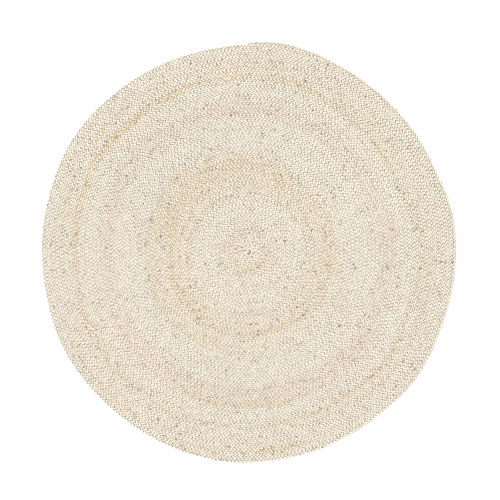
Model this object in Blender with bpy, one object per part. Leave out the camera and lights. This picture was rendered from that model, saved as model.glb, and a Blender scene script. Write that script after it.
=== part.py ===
"""Round braided jute rug, lying flat.

One long flat braid is coiled from the middle outwards and sewn edge to edge. The rug is
a single flat solid with an uneven outline, and each course of the braid stands up as a
rib of one spiral. Metres, +Z up. The origin is on the floor, under the middle of the
outline's box.
"""

import math
from collections import namedtuple

import bmesh
import bpy

# Driving dimensions, in metres
RUG_RADIUS = 0.900  # mean radius of the outline
COURSE_COUNT = 50  # whole turns of the braid from the middle to the edge
COURSE_WIDTH = RUG_RADIUS / (COURSE_COUNT + 0.5)  # 17.8 mm, from one turn to the next
CROWN_HEIGHT = 0.0100  # floor to the crown of a course
SEAM_HEIGHT = 0.0074  # floor to the sewn seam between two courses
SHOULDER_HEIGHT = 0.0084  # where the outermost course begins to round over
SHOULDER_INSET = 0.0030  # and how far inside the edge that is
EDGE_HEIGHT = 0.0050  # where the outermost course is widest
FOOT_INSET = 0.0030  # how far the rounded edge tucks in at the floor

# The braid winds outwards counter-clockwise, seen from above, and ends here
END_ANGLE = math.radians(90.0)
STEPS_PER_TURN = 48

# From this share of the radius outwards the courses are as uneven as the outline
FULLY_UNEVEN_FROM = 0.80

# Where the outline stands out past an even spiral, or falls short of it (minus).
# Degrees are counter-clockwise from +X, offsets in millimetres.
Lobe = namedtuple("Lobe", "degrees offset_mm")
OUTLINE_LOBES = (
    Lobe(10, -5.0),
    Lobe(25, -19.0),
    Lobe(38, -15.5),
    Lobe(52, -11.5),
    Lobe(64, -5.5),
    Lobe(72, 5.0),
    Lobe(80, 11.5),
    Lobe(88, 10.0),
    Lobe(104, 6.0),
    Lobe(126, 6.5),
    Lobe(146, 12.0),
    Lobe(165, 1.0),
    Lobe(190, -4.5),
    Lobe(208, 3.0),
    Lobe(230, -1.5),
    Lobe(264, 8.0),
    Lobe(280, 3.0),
    Lobe(309, -2.5),
    Lobe(321, 3.5),
    Lobe(341, -9.0),
    Lobe(355, -7.5),
)

JUTE_COLOUR = (0.78, 0.69, 0.56, 1.0)
JUTE_ROUGHNESS = 0.9


def lobe_offset(angle):
    """How far the outline stands past an even spiral at this angle, in metres."""
    degrees = math.degrees(angle) % 360.0
    first = OUTLINE_LOBES[0]
    wrapped = OUTLINE_LOBES + (Lobe(first.degrees + 360.0, first.offset_mm),)
    if degrees < first.degrees:
        degrees += 360.0
    for low, high in zip(wrapped, wrapped[1:]):
        if degrees <= high.degrees:
            share = (degrees - low.degrees) / (high.degrees - low.degrees)
            eased = (1.0 - math.cos(math.pi * share)) / 2.0
            return (low.offset_mm + (high.offset_mm - low.offset_mm) * eased) / 1000.0
    raise ValueError("the lobes go once round the outline")


def uneven_radius(radius, angle):
    """An even spiral's radius, pushed in or out as the maker's hand left it."""
    reach = min(1.0, radius / (RUG_RADIUS * FULLY_UNEVEN_FROM))
    return radius + lobe_offset(angle) * reach**2


def plan_point(radius, angle, inset=0.0):
    """Where a point of the coil lies on the floor plan."""
    distance = uneven_radius(radius, angle) - inset
    return distance * math.cos(angle), distance * math.sin(angle)


def add_coil_rows(mesh):
    """The rows of the face: seams are even and crowns odd, each half a course apart.

    Row and step give a point on the spiral, and a row's last step runs on into the
    first step two rows further out.
    """
    rows = []
    last_row = 2 * COURSE_COUNT
    for row in range(last_row + 1):
        height = CROWN_HEIGHT if row % 2 else SEAM_HEIGHT
        if row == last_row:
            height = EDGE_HEIGHT
        points = []
        for step in range(STEPS_PER_TURN):
            turn = step / STEPS_PER_TURN
            angle = END_ANGLE + 2.0 * math.pi * turn
            radius = COURSE_WIDTH * (row / 2.0 + turn)
            points.append(mesh.verts.new((*plan_point(radius, angle), height)))
        rows.append(points)
    return rows


def add_rim_row(mesh, inset, height):
    """A row that follows the edge, inset from it: the shoulder or the foot."""
    points = []
    for step in range(STEPS_PER_TURN):
        turn = step / STEPS_PER_TURN
        angle = END_ANGLE + 2.0 * math.pi * turn
        radius = COURSE_WIDTH * (COURSE_COUNT + turn)
        points.append(mesh.verts.new((*plan_point(radius, angle, inset), height)))
    return points


def add_face(mesh, corners):
    """A face without the corners that coincide where the braid starts or ends."""
    kept = []
    for corner in corners:
        if corner not in kept:
            kept.append(corner)
    if len(kept) > 2:
        mesh.faces.new(kept)


def join_rows(mesh, inner, outer, inner_end, outer_end):
    """Faces between two rows. The ends are the points that each row runs on into."""
    inner_run = inner + [inner_end]
    outer_run = outer + [outer_end]
    for step in range(STEPS_PER_TURN):
        add_face(
            mesh,
            (
                inner_run[step],
                outer_run[step],
                outer_run[step + 1],
                inner_run[step + 1],
            ),
        )


def build_rug():
    mesh = bmesh.new()
    rows = add_coil_rows(mesh)
    edge = rows[-1]
    shoulder = add_rim_row(mesh, SHOULDER_INSET, SHOULDER_HEIGHT)
    foot = add_rim_row(mesh, FOOT_INSET, 0.0)

    # The shoulder starts where the braid's end lies against the edge
    mesh.verts.remove(shoulder[0])
    shoulder[0] = edge[0]

    # The braid starts as a small flat turn: a fan from the middle to the first seam
    middle = rows[0][0]
    for step in range(1, STEPS_PER_TURN - 1):
        add_face(mesh, (middle, rows[0][step], rows[0][step + 1]))
    add_face(mesh, (middle, rows[0][-1], rows[2][0], rows[1][0]))

    # Each row but the outermost runs on into the row two further out
    for inner in range(len(rows) - 3):
        join_rows(mesh, rows[inner], rows[inner + 1], rows[inner + 2][0], rows[inner + 3][0])

    # The outermost course narrows to nothing in its last step and lies against the edge
    seam, crown = rows[-3], rows[-2]
    join_rows(mesh, seam, crown, edge[0], edge[0])
    join_rows(mesh, crown, shoulder, edge[0], edge[0])
    join_rows(mesh, shoulder, edge, edge[0], edge[0])
    join_rows(mesh, edge, foot, edge[0], foot[0])
    mesh.faces.new(list(reversed(foot)))
    return mesh


def centre_on_outline(mesh):
    """Moves the rug so that the middle of its box stands over the origin."""
    for axis in (0, 1):
        values = [vert.co[axis] for vert in mesh.verts]
        middle = (min(values) + max(values)) / 2.0
        for vert in mesh.verts:
            vert.co[axis] -= middle


def jute_material():
    material = bpy.data.materials.new("bleached_jute")
    material.use_nodes = True
    shader = material.node_tree.nodes["Principled BSDF"]
    shader.inputs["Base Color"].default_value = JUTE_COLOUR
    shader.inputs["Roughness"].default_value = JUTE_ROUGHNESS
    shader.inputs["Metallic"].default_value = 0.0
    return material


def main():
    for existing in list(bpy.data.objects):
        bpy.data.objects.remove(existing, do_unlink=True)

    mesh = build_rug()
    centre_on_outline(mesh)
    data = bpy.data.meshes.new("braided_rug")
    mesh.to_mesh(data)
    mesh.free()
    data.shade_smooth()
    data.set_sharp_from_angle(angle=math.radians(50.0))
    data.materials.append(jute_material())
    rug = bpy.data.objects.new("braided_rug", data)
    bpy.context.collection.objects.link(rug)


main()
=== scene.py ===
import math

import bpy
import numpy as np
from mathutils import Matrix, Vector


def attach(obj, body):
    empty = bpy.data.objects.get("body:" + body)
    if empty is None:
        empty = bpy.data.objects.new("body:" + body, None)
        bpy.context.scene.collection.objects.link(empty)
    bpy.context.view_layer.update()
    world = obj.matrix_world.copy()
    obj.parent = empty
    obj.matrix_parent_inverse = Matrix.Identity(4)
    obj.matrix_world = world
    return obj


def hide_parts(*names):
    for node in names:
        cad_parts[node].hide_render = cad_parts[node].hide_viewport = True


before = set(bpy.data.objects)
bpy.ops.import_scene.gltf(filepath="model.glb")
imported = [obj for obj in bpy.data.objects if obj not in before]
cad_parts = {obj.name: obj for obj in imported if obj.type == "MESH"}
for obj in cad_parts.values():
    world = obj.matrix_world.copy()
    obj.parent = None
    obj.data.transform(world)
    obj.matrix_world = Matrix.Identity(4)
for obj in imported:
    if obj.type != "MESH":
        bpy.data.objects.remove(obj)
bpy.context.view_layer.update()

print("rug: the part is loaded")

# The coil is one long braid, wound from the middle outwards on the part's own path.
# Lobes are degrees from +X and how far the outline stands out there, in millimetres.
coil = {
    "radius": 0.900,
    "courses": 50,
    "endAngle": 90.0,
    "outlineSteps": 48,
    "fullyUnevenFrom": 0.80,
    "lobes": {
        10: -5.0, 25: -19.0, 38: -15.5, 52: -11.5, 64: -5.5, 72: 5.0, 80: 11.5,
        88: 10.0, 104: 6.0, 126: 6.5, 146: 12.0, 165: 1.0, 190: -4.5, 208: 3.0,
        230: -1.5, 264: 8.0, 280: 3.0, 309: -2.5, 321: 3.5, 341: -9.0, 355: -7.5,
    },
}
coil["courseWidth"] = coil["radius"] / (coil["courses"] + 0.5)

# Whatever varies by chance starts from one of these, and the strands have one each
seeds = {
    "pitch": 11,
    "wander": 12,
    "jitter": 13,
    "strand": (20, 30, 40),
    "crossing": (61, 62, 63),
    "packing": 5,
    "stray": 31,
    "yarn": (420, 440, 460),
    "yarnGrain": 19,          # added to the strand's own
}


def lobeOffset(angle):
    places = np.array(list(coil["lobes"]), float)
    offsets = np.array(list(coil["lobes"].values())) / 1000.0
    places = np.append(places, places[0] + 360.0)
    offsets = np.append(offsets, offsets[0])
    degrees = (np.degrees(angle) - places[0]) % 360.0 + places[0]
    low = np.clip(np.searchsorted(places, degrees, "right") - 1, 0, len(places) - 2)
    share = (degrees - places[low]) / (places[low + 1] - places[low])
    return offsets[low] + (offsets[low + 1] - offsets[low]) * (1 - np.cos(np.pi * share)) / 2


def planPoint(radius, angle):
    reach = np.minimum(1.0, radius / (coil["radius"] * coil["fullyUnevenFrom"]))
    distance = radius + lobeOffset(angle) * reach**2
    return np.stack((distance * np.cos(angle), distance * np.sin(angle)), -1)


def coilAngle(turns):
    return math.radians(coil["endAngle"]) + 2 * np.pi * turns


# The part stands centred on its outline's box, so the coil is moved the same way
edgeTurns = coil["courses"] + np.arange(coil["outlineSteps"]) / coil["outlineSteps"]
edgePoints = planPoint(coil["courseWidth"] * edgeTurns, coilAngle(edgeTurns))
coil["middle"] = (edgePoints.min(0) + edgePoints.max(0)) / 2


def onRug(radius, turns):
    return planPoint(radius, coilAngle(turns)) - coil["middle"]


def drift(places, spacing, seed):
    # smooth seeded waves from -1 to 1, with a new value at each spacing and a few to spare
    before, spare = 3, 8
    values = np.random.default_rng(seed).uniform(-1, 1, int(places.max() / spacing) + spare)
    at = places / spacing + before
    low = np.floor(at).astype(int)
    share = at - low
    share = share * share * (3 - 2 * share)
    return values[low] * (1 - share) + values[low + 1] * share


def tubeQuads(rings, sides):
    # corner numbers of the quads between rings of points
    ring, side = np.meshgrid(np.arange(rings - 1), np.arange(sides), indexing="ij")
    after = (side + 1) % sides
    quads = np.stack(
        (
            ring * sides + side,
            (ring + 1) * sides + side,
            (ring + 1) * sides + after,
            ring * sides + after,
        ),
        -1,
    )
    return quads.reshape(-1, 4)


def giveValues(mesh, name, numbers):
    attribute = mesh.attributes.new(name, "FLOAT", "POINT")
    attribute.data.foreach_set("value", numbers.astype(np.float32).ravel())


def giveColours(mesh, name, rgb):
    attribute = mesh.attributes.new(name, "FLOAT_COLOR", "POINT")
    rgba = np.concatenate((rgb, np.ones((len(rgb), 1))), 1)
    attribute.data.foreach_set("color", rgba.astype(np.float32).ravel())


def makePiece(name, points, faces, uvs=None, values=None):
    mesh = bpy.data.meshes.new(name)
    mesh.vertices.add(len(points))
    mesh.vertices.foreach_set("co", points.astype(np.float32).ravel())
    mesh.loops.add(faces.size)
    mesh.loops.foreach_set("vertex_index", faces.astype(np.int32).ravel())
    mesh.polygons.add(len(faces))
    starts = np.arange(0, faces.size, faces.shape[1], dtype=np.int32)
    mesh.polygons.foreach_set("loop_start", starts)
    mesh.update(calc_edges=True)
    for layerName, corners in (uvs or {}).items():
        layer = mesh.uv_layers.new(name=layerName)
        layer.data.foreach_set("uv", corners.astype(np.float32).ravel())
    for valueName, numbers in (values or {}).items():
        giveValues(mesh, valueName, numbers)
    mesh.shade_smooth()
    piece = bpy.data.objects.new(name, mesh)
    bpy.context.collection.objects.link(piece)
    return piece


# The braid: three flat strands of loosely twisted jute
braid = {
    "pitch": 0.0479,          # a strand's way from one edge back to the same edge
    "swing": 0.0075,          # how far a strand swings to each side
    "rise": 0.0020,           # and over and under
    "seamRise": 0.0003,       # how far the folds at the seams are lifted
    "middleHeight": 0.0050,
    "ringsPerPitch": 8,
    "sides": 6,
    "girth": 0.025,           # round a strand
    "flatHalfWidth": 0.0039,  # a strand's section where it lies over or under
    "flatHalfHeight": 0.0029,
    "foldHalfWidth": 0.0043,  # and where it folds back at the braid's edge
    "foldHalfHeight": 0.0036,
    "startTurn": 0.68,        # how far round its first turn the braid starts
    "pathSteps": 720,         # in each turn of the coil
    "innerShare": 0.52,       # of each strand's rings, what its inner piece takes
    "eyeRadius": 0.0015,      # no strand comes nearer to the coil's own middle
    "endTaper": 0.118,        # the outer end narrows over this length
    "taperPower": 1.5,
    "endScale": 0.30,
    "endSlimness": 0.35,      # the share of a strand's width that is never narrowed
    "endThinness": 0.6,       # and of its thickness
    "wander": 0.0004,         # unevenness of the courses, sideways
    "wanderSpacing": 0.11,
    "strandWander": 0.0003,   # and of each strand, sideways and in height
    "sizeWander": 0.03,       # of a strand's width
    "pitchWander": 0.0060,    # of the pitch, slowly
    "pitchWanderSpacing": 0.9,
    "pitchJitter": 0.0030,    # and within a few pitches
    "pitchJitterSpacing": 0.17,
    "crossingWander": 0.0007,  # and of the crossings, along the braid
    "lowest": 0.0001,         # all of a strand stays between these heights
    "highest": 0.0108,
    "openFrom": 0.3,          # where the outermost course's open side begins, in half widths
    "openBlend": 0.5,
    "openStart": 40,          # that side opens over one part in this many of a turn
}


def braidPath():
    # the middle of the braid in fine steps: turns, length so far, points, share of width
    width = coil["courseWidth"]
    lastTurn = coil["courses"] + 1
    turns = np.linspace(braid["startTurn"], lastTurn, lastTurn * braid["pathSteps"])
    points = onRug(width * (turns - 0.5), turns)
    length = np.concatenate(([0.0], np.cumsum(np.hypot(*np.diff(points, axis=0).T))))
    toEnd = np.clip((length - length[-1] + braid["endTaper"]) / braid["endTaper"], 0, 1)
    scale = 1 - (1 - braid["endScale"]) * toEnd ** braid["taperPower"]
    points = onRug(width * (turns - 1 + scale / 2), turns)
    return turns, length, points, scale


pathTurns, pathLength, pathPoints, pathScale = braidPath()
pathAhead = np.gradient(pathPoints, axis=0)
pathAhead /= np.linalg.norm(pathAhead, axis=1)[:, None]
braidLength = pathLength[-1]
print(f"rug: the braid is {braidLength:.1f} m long")


def alongPath(lengths, values):
    if values.ndim == 1:
        return np.interp(lengths, pathLength, values)
    return np.stack([np.interp(lengths, pathLength, column) for column in values.T], -1)


def outwardsAt(lengths):
    # the coil runs counter-clockwise, so outwards is to the right of the way ahead
    ahead = alongPath(lengths, pathAhead)
    return np.stack((ahead[:, 1], -ahead[:, 0]), -1)


def lengthAtPhase(phase):
    even = phase / (2 * np.pi) * braid["pitch"]
    place = np.maximum(even, 0)
    slow = braid["pitchWander"] * drift(place, braid["pitchWanderSpacing"], seeds["pitch"])
    quick = braid["pitchJitter"] * drift(place, braid["pitchJitterSpacing"], seeds["jitter"])
    return even + slow + quick


def ringPlaces(strand):
    # a strand's own phase at each of its rings, and how far along the braid that is,
    # with a few rings too many at each end, which are left out below
    lag = strand * 2 * np.pi / 3
    step = 2 * np.pi / braid["ringsPerPitch"]
    before, after = 8, 40
    count = int(braidLength / braid["pitch"] * braid["ringsPerPitch"]) + after
    phase = np.arange(-before, count) * step
    # twice as many rings where the strand makes the rug's edge
    between = phase + step / 2
    edgeStart = np.interp(coil["courses"], pathTurns, pathLength)
    between = between[lengthAtPhase(between - lag) > edgeStart]
    phase = np.sort(np.concatenate((phase, between)))
    lengths = lengthAtPhase(phase - lag)
    place = np.maximum(lengths, 0)
    shift = drift(place, braid["pitch"] / 2, seeds["crossing"][strand])
    lengths = lengths + braid["crossingWander"] * shift
    inside = (lengths > 0) & (lengths < braidLength)
    return phase[inside], lengths[inside]


def strandCourse(strand):
    # the strand's middle line, the size of its section and where it is on the coil
    phase, lengths = ringPlaces(strand)
    scale = alongPath(lengths, pathScale)
    turns = alongPath(lengths, pathTurns)
    seed = seeds["strand"][strand]
    crossingSpacing = braid["pitch"] / 3
    sideways = braid["swing"] * np.sin(phase) * scale
    sideways += braid["strandWander"] * drift(lengths, crossingSpacing, seed + 1)
    sideways += braid["wander"] * drift(lengths, braid["wanderSpacing"], seeds["wander"])
    inner = coil["courseWidth"] * (turns - 0.5) - braid["eyeRadius"]
    sideways = np.maximum(sideways, -inner)
    height = braid["middleHeight"] + braid["rise"] * np.sin(2 * phase)
    height -= braid["seamRise"] * np.cos(2 * phase)
    height += braid["strandWander"] * drift(lengths, crossingSpacing, seed + 2)
    plan = alongPath(lengths, pathPoints) + outwardsAt(lengths) * sideways[:, None]
    line = np.concatenate((plan, height[:, None]), 1)

    # flat where it lies over or under, and rounder where it folds back
    flat = np.abs(np.sin(2 * phase))
    halfWidth = braid["foldHalfWidth"]
    halfWidth = halfWidth + (braid["flatHalfWidth"] - braid["foldHalfWidth"]) * flat
    halfHeight = braid["foldHalfHeight"]
    halfHeight = halfHeight + (braid["flatHalfHeight"] - braid["foldHalfHeight"]) * flat
    wander = 1 + braid["sizeWander"] * drift(lengths, crossingSpacing, seed + 3)
    slim, thin = braid["endSlimness"], braid["endThinness"]
    return {
        "phase": phase,
        "lengths": lengths,
        "turns": turns,
        "line": line,
        "halfWidth": halfWidth * wander * (slim + (1 - slim) * scale),
        "halfHeight": halfHeight * (thin + (1 - thin) * scale),
    }


def sweep(line, halfWidth, halfHeight, sides):
    # a flat section carried along a line, level from side to side
    ahead = np.gradient(line, axis=0)
    ahead /= np.linalg.norm(ahead, axis=1)[:, None]
    side = np.stack((ahead[:, 1], -ahead[:, 0], np.zeros(len(line))), -1)
    side /= np.linalg.norm(side, axis=1)[:, None]
    up = np.cross(side, ahead)
    angles = np.arange(sides) * 2 * np.pi / sides
    across = np.cos(angles)[None, :, None] * side[:, None] * halfWidth[:, None, None]
    above = np.sin(angles)[None, :, None] * up[:, None] * halfHeight[:, None, None]
    return line[:, None] + across + above


def outwardOffset(points, lengths):
    # how far points stand outwards of the braid's middle, in half widths of a course
    outwards = outwardsAt(lengths)
    fromMiddle = points[..., :2] - alongPath(lengths, pathPoints)[:, None]
    return (fromMiddle * outwards[:, None]).sum(-1) / (coil["courseWidth"] / 2)


# When its colours are baked, each strand piece fills rows from left to right,
# and the four faces of its ends lie side by side in the last row. Each stray fibre
# has a square cell.
bake = {
    "rows": 56,
    "margin": 0.03,
    "capWidth": 0.1,
    "capSpacing": 0.2,
    "capLow": 0.1,
    "capHigh": 0.9,
    "fibreMargin": 0.1,
}


def strandUvs(phase, sides):
    count = len(phase)
    ring = np.repeat(np.arange(count - 1), sides)
    column = np.tile(np.arange(sides), count - 1)
    around = np.stack((column, column, column + 1, column + 1), -1) / sides

    # the strand's own lay: metres along it and round it
    along = phase / (2 * np.pi) * braid["pitch"]
    alongCorners = np.stack((along[ring], along[ring + 1], along[ring + 1], along[ring]), -1)
    lay = np.stack((alongCorners, around * braid["girth"]), -1)
    capLay = np.zeros((4, 4, 2)) + along[0]

    # and its place when it is baked
    rows, margin = bake["rows"], bake["margin"]
    perRow = math.ceil((count - 1) / (rows - 1))
    row = ring // perRow
    left = (ring - row * perRow) / perRow
    right = left + 1 / perRow
    up = (row[:, None] + margin + (1 - 2 * margin) * around) / rows
    baked = np.stack((np.stack((left, right, right, left), -1), up), -1)
    low, high, wide = bake["capLow"], bake["capHigh"], bake["capWidth"]
    capCorners = np.array(((0.0, low), (wide, low), (wide, high), (0.0, high)))
    capStep = np.array((bake["capSpacing"], 0.0))
    capBaked = capCorners + np.arange(4)[:, None, None] * capStep
    capBaked = capBaked * np.array((1.0, 1 / rows)) + np.array((0.0, 1 - 1 / rows))
    return {
        "lay": np.concatenate((lay, capLay)),
        "OFBake": np.concatenate((baked, capBaked)),
    }


def strandPiece(name, strand, course):
    sides = braid["sides"]
    rings = sweep(course["line"], course["halfWidth"], course["halfHeight"], sides)
    rings[..., 2] = np.clip(rings[..., 2], braid["lowest"], braid["highest"])
    count = len(rings)
    endCap = np.array(((0, 1, 2, 3), (0, 3, 4, 5)))
    caps = np.concatenate((endCap, endCap[:, ::-1] + (count - 1) * sides))

    # the outermost course has no neighbour to shade its outer side
    offset = outwardOffset(rings, course["lengths"])
    outer = np.clip((offset - braid["openFrom"]) / braid["openBlend"], 0, 1)
    outermost = np.clip((course["turns"] - coil["courses"]) * braid["openStart"], 0, 1)

    return makePiece(
        name,
        rings.reshape(-1, 3),
        np.concatenate((tubeQuads(count, sides), caps)),
        uvs=strandUvs(course["phase"], sides),
        values={
            "course": np.repeat(course["turns"], sides),
            "strand": np.full(count * sides, float(strand)),
            "offset": offset,
            "sheltered": 1 - outer * outermost[:, None],
        },
    )


strandPieces = []
strandNumbers = []
for strand in range(3):
    course = strandCourse(strand)
    half = int(len(course["phase"]) * braid["innerShare"])
    for part, cut in (("inner", slice(0, half + 1)), ("outer", slice(half, None))):
        shortCourse = {key: values[cut] for key, values in course.items()}
        strandPieces.append(strandPiece(f"strand_{strand + 1}_{part}", strand, shortCourse))
        strandNumbers.append(strand)
strandTriangles = sum(2 * len(piece.data.polygons) for piece in strandPieces)
print(f"rug: three strands braided, {strandTriangles} triangles")


# What fills the braid's gaps: the inner fibre of the strands, packed by the sewing, coloured
# dark as painted shade in the gaps
core = {
    "rings": 52,
    "steps": 96,
    "edgeInset": 0.0065,
    "edgeStep": 24,           # the edge steps in over one part in this many of a turn
    "middleHeight": 0.0048,
    "halfThickness": 0.0008,
    "wander": 0.0003,
    "firstRing": 0.0015,
    "evenMiddle": 6.0,        # it grows even towards the middle from a sixth of the radius
    # painted shade: the core is dark for the shade in the gaps between the strands
    "colour": (0.34, 0.25, 0.16),
}


def coreOutline(turn):
    width = coil["courseWidth"]
    outer = width * np.minimum(turn, (1 - turn) * core["edgeStep"])
    return width * coil["courses"] + outer - core["edgeInset"]


def packedCore():
    rings, steps = core["rings"], core["steps"]
    turn = np.arange(steps) / steps
    share = np.linspace(core["firstRing"] / coil["radius"], 1, rings)
    radius = share[:, None] * coreOutline(turn)[None]
    plan = onRug(radius, np.broadcast_to(turn, radius.shape))
    bumps = np.random.default_rng(seeds["packing"]).uniform(-1, 1, (2, rings, steps))
    bumps = bumps * core["wander"]
    bumps *= np.minimum(1.0, share * core["evenMiddle"])[None, :, None]
    top = core["middleHeight"] + core["halfThickness"] + bumps[0]
    underside = core["middleHeight"] - core["halfThickness"] + bumps[1]
    # from the middle of the underside out to the edge, and back in over the top
    heights = np.concatenate((underside, top[::-1]))
    plan = np.concatenate((plan, plan[::-1]))
    points = np.concatenate((plan, heights[..., None]), -1)
    quads = tubeQuads(2 * rings, steps)[:, ::-1]
    # a fan closes the small ring in the middle of each side
    closing = []
    for first, flip in ((0, True), ((2 * rings - 1) * steps, False)):
        for low in range(1, steps - 2, 2):
            quad = [first, first + low, first + low + 1, first + low + 2]
            closing.append(quad[::-1] if flip else quad)
    return points.reshape(-1, 3), np.concatenate((quads, np.array(closing)))


corePoints, coreQuads = packedCore()
corePiece = makePiece("packed_inner_fibre", corePoints, coreQuads)
print("rug: the inner fibre is packed")


# Stray fibres that have worked out of the strands, on the face and at the rim.
# Their leans and bends are in radians.
stray = {
    "count": 6400,
    "shortest": 0.008,
    "longest": 0.034,
    "radius": 0.00013,
    "radiusSpread": (0.6, 1.4),
    "lowest": 0.0082,
    "highest": 0.0116,
    "middleLift": 0.3,        # the least lift of a fibre's middle, from lowest to highest
    "tipDrop": -0.2,          # and of its tip, which may hang below its root
    "firstCourse": 1.5,
    "across": 0.4,            # how far from a course's middle a fibre starts, in widths
    "lean": (0.7, 0.5),       # to each side of the way ahead, and how much that varies
    "bend": 1.1,
    "rimShare": 0.12,
    "rimInset": 0.004,
    "rimLean": (0, 0.9),      # from straight outwards
    "rimLongest": 0.016,
    "rimShortening": 0.75,
    "rimHeights": (0.002, 0.008),
    "rimLift": 0.5,
    "colour": (0.80, 0.70, 0.54),
}


def strayLines(chance):
    # each fibre's middle line, from root to tip in four points, and the way that it heads
    count = stray["count"]
    width = coil["courseWidth"]
    atRim = chance.random(count) < stray["rimShare"]
    rimTurns = coil["courses"] + chance.random(count)
    faceTurns = np.sqrt(chance.random(count)) * (coil["courses"] - 1) + stray["firstCourse"]
    turns = np.where(atRim, rimTurns, faceTurns)
    across = chance.uniform(-stray["across"], stray["across"], count)
    radius = np.where(atRim, width * turns - stray["rimInset"], width * (turns - 0.5 + across))
    angle = coilAngle(turns)
    rimHeading = angle + chance.normal(*stray["rimLean"], count)
    lean = chance.choice((-1, 1), count) * chance.normal(*stray["lean"], count)
    heading = np.where(atRim, rimHeading, angle + np.pi / 2 + lean)
    length = chance.uniform(stray["shortest"], stray["longest"], count)
    rimLength = np.minimum(length, stray["rimLongest"]) * stray["rimShortening"]
    length = np.where(atRim, rimLength, length)
    bend = chance.normal(0, stray["bend"], count)

    low, high = stray["lowest"], stray["highest"]
    lift = chance.uniform(0, 1, (count, 2)) ** 2
    middle = stray["middleLift"] + (1 - stray["middleLift"]) * lift
    tip = chance.uniform(stray["tipDrop"], 1, count)
    heights = low + (high - low) * np.column_stack((np.zeros(count), middle, tip))
    rimRoot = chance.uniform(*stray["rimHeights"], (count, 1))
    rimHeights = rimRoot + (heights - low) * stray["rimLift"]
    heights = np.where(atRim[:, None], rimHeights, heights)

    line = np.zeros((count, 4, 3))
    line[:, 0, :2] = onRug(radius, turns)
    for step in range(1, 4):
        way = heading + bend * (step - 2) / 2
        ahead = np.stack((np.cos(way), np.sin(way)), -1)
        line[:, step, :2] = line[:, step - 1, :2] + ahead * (length / 3)[:, None]
    line[..., 2] = heights
    return line, heading


def strayPoints(line, heading, chance):
    # a fibre is three-sided, with a ring at each middle point and a pointed root and tip
    side = np.stack((-np.sin(heading), np.cos(heading), np.zeros(len(heading))), -1)
    up = np.array((0.0, 0.0, 1.0))
    angles = np.arange(3) * 2 * np.pi / 3
    ring = np.cos(angles)[None, :, None] * side[:, None] + np.sin(angles)[None, :, None] * up
    radius = stray["radius"] * chance.uniform(*stray["radiusSpread"], len(heading))
    ring = ring * radius[:, None, None]
    points = (line[:, :1], line[:, 1:2] + ring, line[:, 2:3] + ring, line[:, 3:])
    return np.concatenate(points, 1)


def strayFaces():
    # one fibre's triangles, by the numbers of its eight points, and where each is baked
    triangles = []
    layout = []
    for corner in range(3):
        after = (corner + 1) % 3
        low, high = corner / 3, (corner + 1) / 3
        triangles.append((0, 1 + after, 1 + corner))
        layout.append(((0, low), (1 / 3, high), (1 / 3, low)))
        triangles.append((1 + corner, 1 + after, 4 + after))
        layout.append(((1 / 3, low), (1 / 3, high), (2 / 3, high)))
        triangles.append((1 + corner, 4 + after, 4 + corner))
        layout.append(((1 / 3, low), (2 / 3, high), (2 / 3, low)))
        triangles.append((4 + corner, 4 + after, 7))
        layout.append(((2 / 3, low), (2 / 3, high), (1, high)))
    return np.array(triangles), np.array(layout)


def strayFibres():
    chance = np.random.default_rng(seeds["stray"])
    line, heading = strayLines(chance)
    points = strayPoints(line, heading, chance)
    pattern, layout = strayFaces()
    fibre = np.arange(stray["count"])
    triangles = fibre[:, None, None] * 8 + pattern
    cells = math.ceil(math.sqrt(stray["count"]))
    cell = np.stack((fibre % cells, fibre // cells), -1)[:, None, None]
    margin = bake["fibreMargin"]
    bakeUv = (cell + margin + (1 - 2 * margin) * layout) / cells
    return points.reshape(-1, 3), triangles.reshape(-1, 3), bakeUv.reshape(-1, 3, 2)


fibrePoints, fibreTriangles, fibreUv = strayFibres()
strayPiece = makePiece("stray_fibres", fibrePoints, fibreTriangles, uvs={"OFBake": fibreUv})
print(f"rug: {stray['count']} stray fibres laid")


# The yarn. A lot is a tint of the same bleached jute, linear red, green and blue,
# and the share of its fibre that has flecks of bark.
jute = {
    "bleached": (0.874, 0.805, 0.692),
    "bark": 0.09,
    "lots": {
        "ivory": (1.015, 1.030, 1.045, 0.04),
        "silver": (0.985, 1.010, 1.050, 0.10),
        "tan": (0.962, 0.920, 0.842, 0.20),
        "golden": (0.950, 0.892, 0.768, 0.34),
        "rose": (0.970, 0.940, 0.935, 0.10),
    },
    # from course, to course, lot, share of the yarn there; 42.4 is 0.4 of a turn into
    # course 42. A band's runs of yarn are seeded by its place in this list.
    "bands": (
        (0.0, 2.6, "rose", 0.15),
        (2.6, 4.2, "tan", 0.45),
        (3.8, 5.8, "rose", 0.60),
        (7.0, 10.5, "ivory", 0.40),
        (10.5, 13.5, "ivory", 0.65),
        (13.5, 15.5, "rose", 0.30),
        (14.5, 19.0, "tan", 0.46),
        (19.0, 21.8, "tan", 0.66),
        (21.8, 23.1, "tan", 0.36),
        (25.0, 27.0, "silver", 0.60),
        (27.0, 32.0, "ivory", 0.60),
        (32.8, 36.2, "rose", 0.65),
        (36.9, 37.1, "tan", 0.80),
        (37.6, 40.8, "ivory", 0.60),
        (41.3, 42.9, "golden", 0.55),
        (43.2, 45.5, "tan", 0.24),
        (45.4, 45.7, "golden", 0.32),
        (47.8, 48.1, "golden", 0.34),
        (48.6, 51.0, "ivory", 0.35),
        (23.5, 24.0, "tan", 0.45),
        (24.55, 24.95, "tan", 0.50),
    ),
    "bandEnds": 0.12,         # a lot comes in and goes out over this share of a turn
    "runLength": 0.35,        # a lot goes on for about this long in a strand
    "runGrain": 0.024,        # and comes and goes within it
    "grainShare": 0.5,
    "runEdge": 0.3,           # how gently a run begins and ends
}


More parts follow.
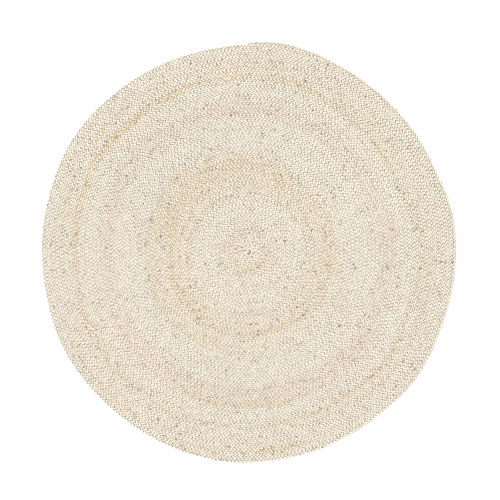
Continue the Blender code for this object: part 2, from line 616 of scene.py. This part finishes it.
def yarnLots(turns, lengths, seed):
    # the tint of a strand, in runs along the braid, and its share of bark
    tint = np.ones((len(turns), 3))
    barkShare = np.full(len(turns), jute["bark"])
    course = turns - 0.5
    grain = drift(lengths, jute["runGrain"], seed + seeds["yarnGrain"])
    grain = 1 + jute["grainShare"] * grain
    for number, (first, last, lot, share) in enumerate(jute["bands"]):
        comesIn = np.clip((course - first) / jute["bandEnds"] + 0.5, 0, 1)
        goesOut = np.clip((last - course) / jute["bandEnds"] + 0.5, 0, 1)
        runs = 0.5 + 0.5 * drift(lengths, jute["runLength"], seed + number)
        runs = np.clip((runs - (1 - share)) / jute["runEdge"] + 0.5, 0, 1)
        amount = comesIn * goesOut * runs * grain
        *lotTint, lotBark = jute["lots"][lot]
        tint *= 1 + amount[:, None] * (np.array(lotTint) - 1)
        barkShare += amount * (lotBark - jute["bark"])
    return tint, barkShare


for piece, strand in zip(strandPieces, strandNumbers):
    turns = np.zeros(len(piece.data.vertices), np.float32)
    piece.data.attributes["course"].data.foreach_get("value", turns)
    turns = turns.reshape(-1, braid["sides"])[:, 0]
    lengths = np.interp(turns, pathTurns, pathLength)
    tint, barkShare = yarnLots(turns, lengths, seeds["yarn"][strand])
    giveColours(piece.data, "yarnTint", np.repeat(tint, braid["sides"], 0))
    giveValues(piece.data, "barkShare", np.repeat(barkShare, braid["sides"]))
print(f"rug: yarn of {len(jute['lots'])} lots spun in")


def feed(tree, socket, value):
    if isinstance(value, bpy.types.NodeSocket):
        tree.links.new(value, socket)
    else:
        socket.default_value = value


def wire(tree, kind, inputs=None, **settings):
    made = tree.nodes.new(kind)
    for name, value in settings.items():
        setattr(made, name, value)
    for name, value in (inputs or {}).items():
        feed(tree, made.inputs[name], value)
    return made


def maths(tree, operation, first, second=None, third=None):
    inputs = {0: first}
    if second is not None:
        inputs[1] = second
    if third is not None:
        inputs[2] = third
    return wire(tree, "ShaderNodeMath", inputs, operation=operation).outputs[0]


def remap(tree, value, fromLow, fromHigh, toLow, toHigh):
    limits = {0: value, 1: fromLow, 2: fromHigh, 3: toLow, 4: toHigh}
    made = wire(tree, "ShaderNodeMapRange", limits, interpolation_type="SMOOTHSTEP")
    return made.outputs[0]


def point(tree, x, y, z=0.0):
    return wire(tree, "ShaderNodeCombineXYZ", {0: x, 1: y, 2: z}).outputs[0]


def grey(tree, value):
    return wire(tree, "ShaderNodeCombineColor", {0: value, 1: value, 2: value}).outputs[0]


def noise(tree, place, **inputs):
    made = wire(tree, "ShaderNodeTexNoise", {"Vector": place, "Scale": 1.0})
    for name, value in inputs.items():
        feed(tree, made.inputs[name], value)
    return made.outputs[0]


def pointValue(tree, name, output="Fac"):
    return wire(tree, "ShaderNodeAttribute", attribute_name=name).outputs[output]


def mixColour(tree, blend, factor, first, second):
    inputs = {0: factor, 6: first, 7: second}
    mixed = wire(tree, "ShaderNodeMix", inputs, data_type="RGBA", blend_type=blend)
    return mixed.outputs[2]


def bump(tree, height, distance, under=None):
    inputs = {"Height": height, "Distance": distance, "Strength": 1.0}
    if under is not None:
        inputs["Normal"] = under
    return wire(tree, "ShaderNodeBump", inputs).outputs[0]


def newGroup(name, inputs, outputs):
    # a group works on a lay, which is metres along a yarn and across it, and on numbers
    group = bpy.data.node_groups.new(name, "ShaderNodeTree")
    group.interface.new_socket("Lay", in_out="INPUT", socket_type="NodeSocketVector")
    for label, value in inputs.items():
        socket = group.interface.new_socket(label, in_out="INPUT", socket_type="NodeSocketFloat")
        socket.default_value = value
    for label in outputs:
        group.interface.new_socket(label, in_out="OUTPUT", socket_type="NodeSocketFloat")
    return group, group.nodes.new("NodeGroupInput"), group.nodes.new("NodeGroupOutput")


def placeGroup(tree, group, inputs):
    return wire(tree, "ShaderNodeGroup", inputs, node_tree=group)


def layParts(group, given):
    parts = wire(group, "ShaderNodeSeparateXYZ", {0: given.outputs["Lay"]})
    return parts.outputs[0], parts.outputs[1]


# What the groups share. A noise keeps within about its range, which becomes 0 to 1.
# A step takes the next ply, strand or gap to another part of the same pattern.
patterns = {
    "fineRange": (0.32, 0.68),
    "clumpRange": (0.30, 0.70),
    "clumpScale": (2.0, 0.12, 1.0),
    "toneRange": (0.3, 0.7),
    "plyStep": 3.7,
    "strandStep": 17.3,
    "gapStep": 5000.5,
}


def fibreGroup():
    # long thin fibres that run along the lay
    group, given, out = newGroup(
        "jute fibres",
        {"Fibre Length": 0.012, "Fibre Width": 0.00035, "Twist": 0.3, "Seed": 0.0},
        ("Lightness", "Clumps", "Height"),
    )
    along, across = layParts(group, given)
    across = maths(group, "MULTIPLY_ADD", along, given.outputs["Twist"], across)
    u = maths(group, "DIVIDE", along, given.outputs["Fibre Length"])
    v = maths(group, "DIVIDE", across, given.outputs["Fibre Width"])
    place = point(group, u, v, given.outputs["Seed"])
    fine = noise(group, place, Detail=3.0, Roughness=0.7)
    clumpPlace = wire(
        group,
        "ShaderNodeVectorMath",
        {0: place, 1: patterns["clumpScale"]},
        operation="MULTIPLY",
    ).outputs[0]
    clumps = noise(group, clumpPlace, Detail=1.0)
    lightness = remap(group, fine, *patterns["fineRange"], 0.0, 1.0)
    feed(group, out.inputs["Lightness"], lightness)
    feed(group, out.inputs["Clumps"], remap(group, clumps, *patterns["clumpRange"], 0.0, 1.0))
    feed(group, out.inputs["Height"], fine)
    return group


def plyGroup():
    # the loosely twisted yarns that lie side by side in a strand
    group, given, out = newGroup(
        "yarn plies",
        {"Ply Width": 0.0031, "Run Length": 0.03, "Twist": 0.15, "Seed": 0.0},
        ("Crown", "Lightness"),
    )
    along, across = layParts(group, given)
    across = maths(group, "MULTIPLY_ADD", along, given.outputs["Twist"], across)
    inPlies = maths(group, "DIVIDE", across, given.outputs["Ply Width"])
    fromMiddle = maths(group, "MULTIPLY_ADD", maths(group, "FRACT", inPlies), 2.0, -1.0)
    crown = maths(group, "SUBTRACT", 1.0, maths(group, "MULTIPLY", fromMiddle, fromMiddle))
    number = maths(group, "MULTIPLY", maths(group, "FLOOR", inPlies), patterns["plyStep"])
    run = maths(group, "DIVIDE", along, given.outputs["Run Length"])
    tone = noise(group, point(group, run, number, given.outputs["Seed"]), Detail=0.0)
    feed(group, out.inputs["Crown"], crown)
    feed(group, out.inputs["Lightness"], remap(group, tone, *patterns["toneRange"], 0.0, 1.0))
    return group


def barkGroup():
    # flecks of bark left in the fibre, each a few millimetres long
    group, given, out = newGroup(
        "bark flecks",
        {
            "Spacing": 0.009,
            "Stretch": 0.6,
            "Size": 0.3,
            "Solid Part": 0.6,
            "Share": 0.1,
            "Seed": 0.0,
            "Fibres": 0.5,
            "Fray": 0.25,
            "Fading": 0.0,
        },
        ("Flecks",),
    )
    along, across = layParts(group, given)
    stretched = maths(group, "MULTIPLY", along, given.outputs["Stretch"])
    u = maths(group, "DIVIDE", stretched, given.outputs["Spacing"])
    v = maths(group, "DIVIDE", across, given.outputs["Spacing"])
    v = maths(group, "MULTIPLY_ADD", given.outputs["Seed"], patterns["strandStep"], v)
    cells = wire(
        group,
        "ShaderNodeTexVoronoi",
        {"Vector": point(group, u, v), "Scale": 1.0},
        voronoi_dimensions="2D",
    )
    chances = wire(group, "ShaderNodeSeparateColor", {0: cells.outputs["Color"]})
    chosen = maths(group, "LESS_THAN", chances.outputs[0], given.outputs["Share"])
    faded = maths(group, "MULTIPLY", chances.outputs[1], given.outputs["Fading"])
    strength = maths(group, "MULTIPLY", chosen, maths(group, "SUBTRACT", 1.0, faded))
    frayed = maths(group, "SUBTRACT", given.outputs["Fibres"], 0.5)
    distance = cells.outputs["Distance"]
    distance = maths(group, "MULTIPLY_ADD", frayed, given.outputs["Fray"], distance)
    solid = maths(group, "MULTIPLY", given.outputs["Size"], given.outputs["Solid Part"])
    inside = remap(group, distance, solid, given.outputs["Size"], 1.0, 0.0)
    feed(group, out.inputs["Flecks"], maths(group, "MULTIPLY", strength, inside))
    return group


def crossingGroup():
    # each crossing of a strand is a little lighter or darker than the next, and the gaps between
    # them are looser or tighter, which makes their painted shade deeper or shallower
    group, given, out = newGroup(
        "strand crossings",
        {"Pitch": braid["pitch"], "Strand": 0.0},
        ("Lightness", "Looseness"),
    )
    # a strand comes to the top twice in a pitch, and has four gaps beside it
    along = layParts(group, given)[0]
    quarters = maths(group, "MULTIPLY", along, 4.0)
    quarters = maths(group, "DIVIDE", quarters, given.outputs["Pitch"])
    halves = maths(group, "MULTIPLY", quarters, 0.5)
    crossing = maths(group, "FLOOR", maths(group, "ADD", halves, 0.25))
    gap = maths(group, "ADD", maths(group, "FLOOR", quarters), patterns["gapStep"])
    for number, label in ((crossing, "Lightness"), (gap, "Looseness")):
        place = point(group, number, given.outputs["Strand"])
        chance = wire(
            group, "ShaderNodeTexWhiteNoise", {"Vector": place}, noise_dimensions="3D"
        )
        feed(group, out.inputs[label], chance.outputs["Value"])
    return group


fibres = fibreGroup()
plies = plyGroup()
bark = barkGroup()
crossings = crossingGroup()

strandFinish = {
    # Painted shade: the yarn is darkened by its height, in the creases and dark pits between the
    # crossings
    "creaseTop": 0.0036,      # this far over or under the braid's middle, the yarn has no painted shade
    "creaseFoot": 0.0014,     # and here it is fully in the painted shade of the creases between two crossings
    "creaseDepth": 1.0,
    # the colour of the painted shade in the creases
    "creaseShade": (0.82, 0.765, 0.68, 1.0),
    "pitTop": 0.0026,         # where the painted shade of the dark pits begins
    "pitFoot": 0.0006,
    "pitDepth": 1.0,
    # the colour of the painted shade in the pits
    "pitShade": (0.28, 0.232, 0.16, 1.0),
    "pitSpread": 0.0002,      # how much higher the painted shade of the pits stands in a loose gap
    "deepGapShade": 0.0009,        # and in the loosest few, where that painted shade is deepest
    "deepGapRarity": 8.0,
    "dipShadeWidth": 0.18,         # how far the painted shade along the dips reaches to each side, in half widths
    "dipShadeDepth": 0.38,
    "packingSize": 0.0035,    # the painted shade of the creases and pits is uneven, as the fibre is packed unevenly, in patches of this size
    "packingRange": (0.3, 0.7),
    "packingSpread": 0.0006,
    "crossingSpread": 0.02,
    "plySpread": 0.06,
    "clumpSpread": 0.29,
    "fibreSpread": 0.40,
    "brightShare": 0.4,       # a spread goes up by this share of what it goes down
    # painted shade in the grooves between the plies of a strand
    "grooveShadeDepth": 0.20,
    "grooveShadeTop": 0.8,
    "fleck": (0.29, 0.185, 0.080, 1.0),
    "fleckDepth": 0.78,
    "flecks": {"Size": 0.24, "Spacing": 0.015, "Fray": 0.25, "Fading": 0.0},
    "speck": (0.090, 0.052, 0.020, 1.0),
    "speckShare": 0.9,        # small dark bits of bark, as many as this for each fleck
    "speckSeed": 5.0,
    "specks": {"Size": 0.29, "Spacing": 0.012, "Fray": 0.1, "Fading": 0.85},
    "roughness": (0.96, 0.80),
    "specular": 0.3,
    "fibreBump": 0.0006,
    "plyBump": 0.0005,
}


def newMaterial(name):
    material = bpy.data.materials.new(name)
    material.use_nodes = True
    return material, material.node_tree, material.node_tree.nodes["Principled BSDF"]


def shadeSpread(tree, value, spread):
    # a value of 0 to 1 as a factor of lightness, around 1
    brightest = 1 + spread * strandFinish["brightShare"]
    return remap(tree, value, 0.0, 1.0, 1 - spread, brightest)


def creaseAndPitShade(tree, looseness, sheltered):
    # painted shade: how far a place is down in the creases, and in the dark pits, by its height
    # in the braid
    place = wire(tree, "ShaderNodeTexCoord").outputs["Object"]
    height = wire(tree, "ShaderNodeSeparateXYZ", {0: place}).outputs[2]
    overMiddle = maths(tree, "SUBTRACT", height, braid["middleHeight"])
    overMiddle = maths(tree, "ABSOLUTE", overMiddle)
    packing = noise(tree, place, Scale=1 / strandFinish["packingSize"], Detail=1.0)
    spread = strandFinish["packingSpread"]
    packed = remap(tree, packing, *strandFinish["packingRange"], -spread, spread)
    overMiddle = maths(tree, "ADD", overMiddle, packed)

    foot, top = strandFinish["creaseFoot"], strandFinish["creaseTop"]
    creaseShade = remap(tree, overMiddle, foot, top, strandFinish["creaseDepth"], 0.0)

    loose = maths(tree, "MULTIPLY_ADD", looseness, -2.0, 1.0)
    overPit = maths(tree, "MULTIPLY_ADD", loose, strandFinish["pitSpread"], overMiddle)
    deepest = maths(tree, "POWER", looseness, strandFinish["deepGapRarity"])
    overPit = maths(tree, "MULTIPLY_ADD", deepest, -strandFinish["deepGapShade"], overPit)
    foot, top = strandFinish["pitFoot"], strandFinish["pitTop"]
    pitShade = remap(tree, overPit, foot, top, strandFinish["pitDepth"], 0.0)
    return (
        maths(tree, "MULTIPLY", creaseShade, sheltered),
        maths(tree, "MULTIPLY", pitShade, sheltered),
    )


def courseDipShade(tree, sheltered):
    # painted shade along the middle of each course and along its seams, where the strands go
    # down
    offset = maths(tree, "ABSOLUTE", pointValue(tree, "offset"))
    fromCrest = maths(tree, "ABSOLUTE", maths(tree, "SUBTRACT", offset, 0.5))
    edge = 0.5 - strandFinish["dipShadeWidth"]
    dipShade = remap(tree, fromCrest, edge, 0.5, 0.0, strandFinish["dipShadeDepth"])
    return maths(tree, "MULTIPLY", dipShade, sheltered)


def strandToneAndShade(tree, dipShade, crossing, ply, fibre):
    # the yarn's lightness: tone that differs at random, with painted shade along the dips and in
    # the grooves between plies
    light = shadeSpread(tree, crossing.outputs["Lightness"], strandFinish["crossingSpread"])
    light = maths(tree, "MULTIPLY", light, maths(tree, "SUBTRACT", 1.0, dipShade))
    for value, spread in (
        (ply.outputs["Lightness"], strandFinish["plySpread"]),
        (fibre.outputs["Clumps"], strandFinish["clumpSpread"]),
        (fibre.outputs["Lightness"], strandFinish["fibreSpread"]),
    ):
        light = maths(tree, "MULTIPLY", light, shadeSpread(tree, value, spread))
    # painted shade in the grooves between the plies
    top, deepest = strandFinish["grooveShadeTop"], 1 - strandFinish["grooveShadeDepth"]
    grooveShade = remap(tree, ply.outputs["Crown"], 0.0, top, deepest, 1.0)
    return maths(tree, "MULTIPLY", light, grooveShade)


def strandMaterial():
    material, tree, shader = newMaterial("bleached jute strand")
    lay = wire(tree, "ShaderNodeUVMap", uv_map="lay").outputs[0]
    strand = pointValue(tree, "strand")
    barkShare = pointValue(tree, "barkShare")
    sheltered = pointValue(tree, "sheltered")
    fibre = placeGroup(tree, fibres, {"Lay": lay, "Seed": strand})
    ply = placeGroup(tree, plies, {"Lay": lay, "Seed": strand})
    crossing = placeGroup(tree, crossings, {"Lay": lay, "Strand": strand})
    onYarn = {"Lay": lay, "Fibres": fibre.outputs["Lightness"]}
    fleck = placeGroup(
        tree, bark, {**onYarn, "Seed": strand, "Share": barkShare, **strandFinish["flecks"]}
    )
    speckSeed = maths(tree, "ADD", strand, strandFinish["speckSeed"])
    speckShare = maths(tree, "MULTIPLY", barkShare, strandFinish["speckShare"])
    speck = placeGroup(
        tree, bark, {**onYarn, "Seed": speckSeed, "Share": speckShare, **strandFinish["specks"]}
    )

    # the yarn's own colour, then bark on it, then the painted shade of the creases and pits
    creaseShade, pitShade = creaseAndPitShade(tree, crossing.outputs["Looseness"], sheltered)
    light = strandToneAndShade(tree, courseDipShade(tree, sheltered), crossing, ply, fibre)
    yarn = pointValue(tree, "yarnTint", "Color")
    base = mixColour(tree, "MULTIPLY", 1.0, (*jute["bleached"], 1), yarn)
    base = mixColour(tree, "MULTIPLY", 1.0, base, grey(tree, light))
    dark = maths(tree, "MULTIPLY", fleck.outputs["Flecks"], strandFinish["fleckDepth"])
    base = mixColour(tree, "MIX", dark, base, strandFinish["fleck"])
    base = mixColour(tree, "MIX", speck.outputs["Flecks"], base, strandFinish["speck"])
    base = mixColour(tree, "MULTIPLY", creaseShade, base, strandFinish["creaseShade"])
    base = mixColour(tree, "MULTIPLY", pitShade, base, strandFinish["pitShade"])
    feed(tree, shader.inputs["Base Color"], base)

    rough = remap(tree, fibre.outputs["Lightness"], 0.0, 1.0, *strandFinish["roughness"])
    feed(tree, shader.inputs["Roughness"], rough)
    shader.inputs["Specular IOR Level"].default_value = strandFinish["specular"]
    relief = bump(tree, ply.outputs["Crown"], strandFinish["plyBump"])
    relief = bump(tree, fibre.outputs["Height"], strandFinish["fibreBump"], relief)
    feed(tree, shader.inputs["Normal"], relief)
    return material


plainFinish = {
    "fibres": {"Fibre Width": 0.0009, "Fibre Length": 0.009},
    "shade": (0.7, 1.05),
    "roughness": (0.97, 0.82),
    "bump": 0.0002,
}


def plainJute(name, colour):
    material, tree, shader = newMaterial(name)
    place = wire(tree, "ShaderNodeTexCoord").outputs["Object"]
    fibre = placeGroup(tree, fibres, {"Lay": place, **plainFinish["fibres"]})
    light = remap(tree, fibre.outputs["Lightness"], 0.0, 1.0, *plainFinish["shade"])
    base = mixColour(tree, "MULTIPLY", 1.0, (*colour, 1), grey(tree, light))
    feed(tree, shader.inputs["Base Color"], base)
    rough = remap(tree, fibre.outputs["Lightness"], 0.0, 1.0, *plainFinish["roughness"])
    feed(tree, shader.inputs["Roughness"], rough)
    relief = bump(tree, fibre.outputs["Height"], plainFinish["bump"])
    feed(tree, shader.inputs["Normal"], relief)
    return material


juteStrand = strandMaterial()
for piece in strandPieces:
    piece.data.materials.append(juteStrand)
corePiece.data.materials.append(plainJute("packed jute in painted shade", core["colour"]))
strayPiece.data.materials.append(plainJute("stray jute fibre", stray["colour"]))
print("rug: finishes made")

rugPieces = [corePiece, *strandPieces, strayPiece]
for piece in rugPieces:
    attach(piece, "root")
for piece in rugPieces:
    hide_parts("braided_rug")

# Floor, light and camera: straight down, as the photo was taken
studio = {
    "floorSize": 80.0,
    "floorColour": (0.93, 0.93, 0.93, 1.0),
    "floorRoughness": 0.9,
    "worldColour": (1.0, 1.0, 1.0, 1.0),
    "worldStrength": 0.62,
    "keyEnergy": 13100.0,
    "keySize": 7.5,
    "keyDistance": 30.0,
    "keyAzimuth": 152.0,
    "keyElevation": 60.0,
    "cameraPlace": (0.0071, 0.0096, 4.5),
    "pictureWidth": 2.160,    # what the picture takes in at the height of the rug's top
    "rugTop": 0.010,
}

half = studio["floorSize"] / 2
floor = makePiece(
    "floor",
    np.array(((-half, -half, 0), (half, -half, 0), (half, half, 0), (-half, half, 0))),
    np.array(((0, 1, 2, 3),)),
)
floorMaterial, _, floorShader = newMaterial("pale floor")
floorShader.inputs["Base Color"].default_value = studio["floorColour"]
floorShader.inputs["Roughness"].default_value = studio["floorRoughness"]
floor.data.materials.append(floorMaterial)

world = bpy.data.worlds.new("soft studio")
world.use_nodes = True
background = world.node_tree.nodes["Background"]
background.inputs["Color"].default_value = studio["worldColour"]
background.inputs["Strength"].default_value = studio["worldStrength"]
bpy.context.scene.world = world

keyData = bpy.data.lights.new("key", "AREA")
keyData.energy = studio["keyEnergy"]
keyData.size = studio["keySize"]
key = bpy.data.objects.new("key", keyData)
azimuth, elevation = math.radians(studio["keyAzimuth"]), math.radians(studio["keyElevation"])
keyWay = Vector(
    (
        math.cos(azimuth) * math.cos(elevation),
        math.sin(azimuth) * math.cos(elevation),
        math.sin(elevation),
    )
)
key.location = keyWay * studio["keyDistance"]
key.rotation_euler = keyWay.to_track_quat("Z", "Y").to_euler()
bpy.context.collection.objects.link(key)

cameraData = bpy.data.cameras.new("camera")
cameraHeight = studio["cameraPlace"][2] - studio["rugTop"]
cameraData.lens = cameraData.sensor_width * cameraHeight / studio["pictureWidth"]
camera = bpy.data.objects.new("camera", cameraData)
camera.location = studio["cameraPlace"]
bpy.context.collection.objects.link(camera)
bpy.context.scene.camera = camera
bpy.context.scene.view_settings.view_transform = "Standard"
print("rug: floor, light and camera set")
